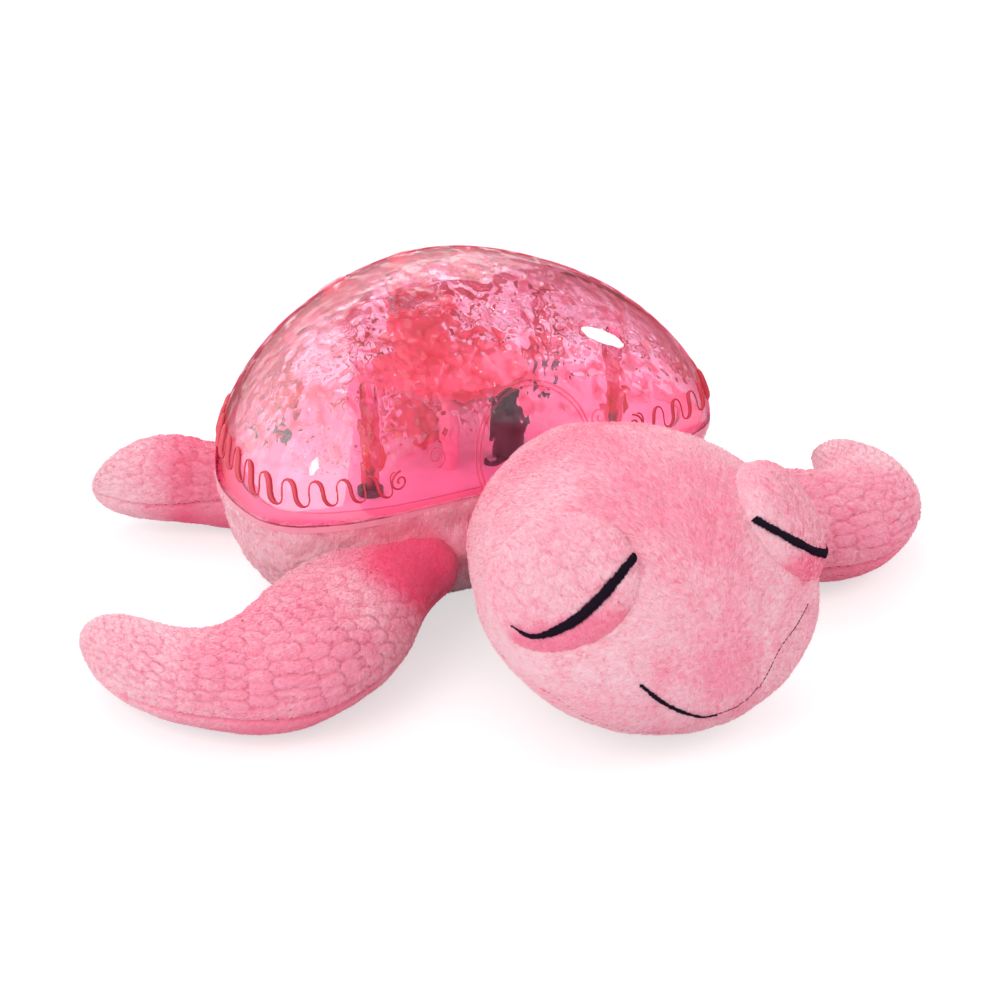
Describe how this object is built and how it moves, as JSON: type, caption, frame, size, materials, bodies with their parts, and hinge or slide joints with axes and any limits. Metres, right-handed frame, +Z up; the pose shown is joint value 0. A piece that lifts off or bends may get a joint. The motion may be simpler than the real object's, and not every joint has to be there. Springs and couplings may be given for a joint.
{
  "type": "plush night light projector",
  "caption": "Sleepy plush turtle lying flat, with a clear domed shell over a lamp and a slowly turning ripple disc, push buttons, a loudspeaker and a battery bay under a belly flap.",
  "frame": {"origin": "on the surface that the toy rests on, under the middle of its bounding box", "axes": "+Z up, the head towards -Y, the turtle's left side towards +X"},
  "size_m": [0.3725, 0.3094, 0.1295],
  "materials": {
    "plush": "short pile plush",
    "hook_and_loop": "woven tape",
    "clear_dome": "clear tinted",
    "housing": "glossy",
    "deck": "satin",
    "projector_red": "glossy",
    "clear_lens": "clear",
    "white_plastic": "satin",
    "black_plastic": "satin",
    "button_plastic": "glossy",
    "steel": "bright",
    "spring_steel": "plated",
    "circuit_board": "solder mask",
    "battery_wrap": "printed sleeve",
    "dark_rubber": "matt",
    "paper_cone": "paper",
    "lead_sleeve": "soft"
  },
  "bodies": {
    "root": {"plush_body": "plush", "plush_head": "plush", "front_right_flipper": "plush", "front_left_flipper": "plush", "rear_right_flipper": "plush", "rear_left_flipper": "plush", "right_eyelid_patch": "plush", "left_eyelid_patch": "plush", "loop_strip": "hook_and_loop", "shell_dome": "clear_dome", "base_housing": "housing", "deck_plate": "deck", "shell_screws": "steel", "post_washers": "dark_rubber", "battery_cells": "battery_wrap", "battery_plate_contacts": "spring_steel", "battery_spring_contacts": "spring_steel", "led_board": "circuit_board", "led_emitter": "white_plastic", "light_barrel": "projector_red", "collimator_lens": "clear_lens", "motor_body": "black_plastic", "motor_screws": "steel", "projector_frame": "projector_red", "frame_screws": "steel", "disc_axle": "steel", "axle_spacer": "white_plastic", "projection_lens": "clear_lens", "speaker_frame": "black_plastic", "speaker_magnet": "steel", "speaker_cone": "paper_cone", "speaker_screws": "steel", "main_board": "circuit_board", "board_chips": "black_plastic", "board_capacitors": "battery_wrap", "board_sockets": "white_plastic", "board_screws": "steel", "button_boards": "circuit_board", "button_switches": "black_plastic", "battery_leads": "lead_sleeve", "speaker_leads": "lead_sleeve", "led_leads": "lead_sleeve", "motor_leads": "lead_sleeve", "button_leads": "lead_sleeve"},
    "ripple_wheel": {"ripple_disc": "clear_lens", "ripple_gear": "white_plastic"},
    "motor_drive": {"motor_pinion": "black_plastic", "motor_shaft": "steel"},
    "light_button": {"light_button": "button_plastic"},
    "sound_button": {"sound_button": "button_plastic"},
    "volume_button": {"volume_button": "button_plastic"},
    "belly_flap": {"belly_flap": "plush", "hook_strip": "hook_and_loop"},
    "battery_door": {"battery_door": "housing", "battery_door_screw": "steel"}
  },
  "joints": [
    {"name": "ripple_spin", "type": "hinge", "parent": "root", "child": "ripple_wheel", "pos_m": [-0.00324, 0.0495, 0.0775], "axis": [0, 0, 1], "continuous": true},
    {"name": "pinion_spin", "type": "hinge", "parent": "root", "child": "motor_drive", "pos_m": [0.00893, 0.0234, 0.0775], "axis": [0, 0, 1], "continuous": true},
    {"name": "light_press", "type": "slide", "parent": "root", "child": "light_button", "axis": [0.2896, -0.548, -0.7848], "range_m": [0, 0.0015], "stiffness_N_per_m": 300, "springref_m": -0.0005},
    {"name": "sound_press", "type": "slide", "parent": "root", "child": "sound_button", "axis": [0, -0.5556, -0.8315], "range_m": [0, 0.0015], "stiffness_N_per_m": 300, "springref_m": -0.0005},
    {"name": "volume_press", "type": "slide", "parent": "root", "child": "volume_button", "axis": [-0.2896, -0.548, -0.7848], "range_m": [0, 0.0015], "stiffness_N_per_m": 300, "springref_m": -0.0005},
    {"name": "belly_flap_hinge", "type": "hinge", "parent": "root", "child": "belly_flap", "pos_m": [0, 0.028, 0.0006], "axis": [1, 0, 0], "range_deg": [-110, 0]},
    {"name": "battery_door_slide", "type": "slide", "parent": "root", "child": "battery_door", "axis": [0, 0, -1], "range_m": [0, 0.0251]}
  ],
  "couplings": [
    {"joint": "pinion_spin", "follows": "ripple_spin", "ratio": -5},
    {"joint": "battery_door_slide", "follows": "belly_flap_hinge", "m_per_rad": -0.01302}
  ]
}
